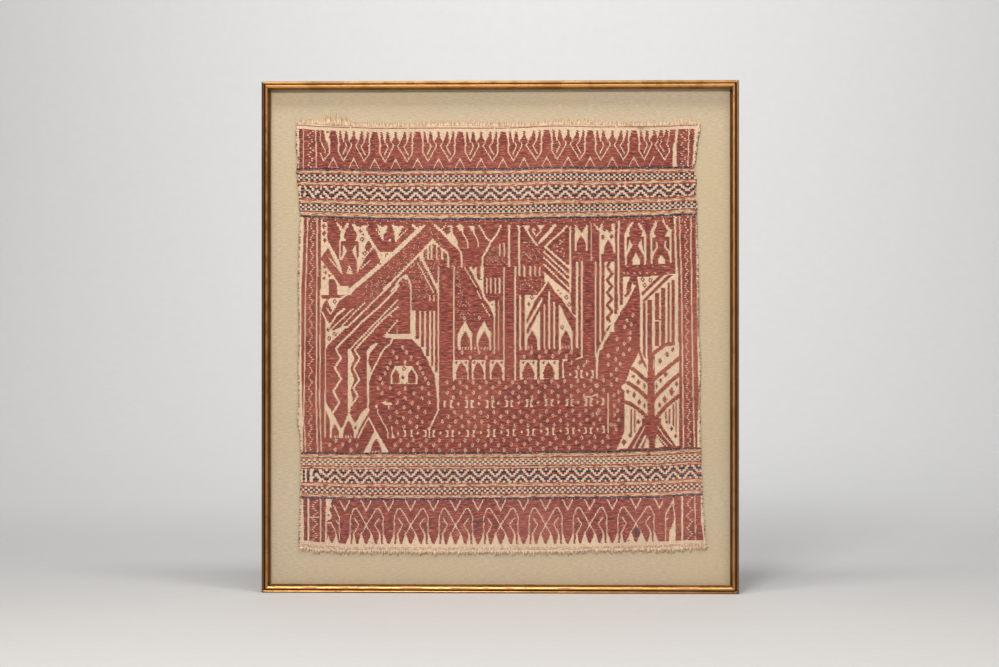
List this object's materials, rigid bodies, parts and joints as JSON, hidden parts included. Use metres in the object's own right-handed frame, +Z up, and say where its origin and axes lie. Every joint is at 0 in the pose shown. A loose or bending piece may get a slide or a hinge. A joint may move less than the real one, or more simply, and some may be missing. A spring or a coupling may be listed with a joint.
{
  "type": "tampan ceremonial cloth in a picture frame",
  "caption": "Rectangular ceremonial ship cloth with frayed ends, sewn flat on linen in a slim gilt picture frame behind glass, standing on its lower edge.",
  "frame": {"origin": "on the surface it stands on, under the middle of the frame's width and depth", "axes": "+Z up; the cloth faces -Y; +X is to the viewer's right, along the frame's width"},
  "size_m": [0.764, 0.034, 0.82],
  "materials": {
    "patterned_weave": "matte",
    "raw_cotton": "matte",
    "linen": "matte",
    "grey_board": "matte",
    "coated_glass": "polished",
    "gilt_wood": "satin"
  },
  "bodies": {
    "root": {"tampan": "patterned_weave", "fringe_top": "raw_cotton", "fringe_foot": "raw_cotton", "linen": "linen", "board": "grey_board", "glass": "coated_glass", "rail_bottom": "gilt_wood", "rail_left": "gilt_wood", "rail_top": "gilt_wood", "rail_right": "gilt_wood"}
  },
  "joints": []
}
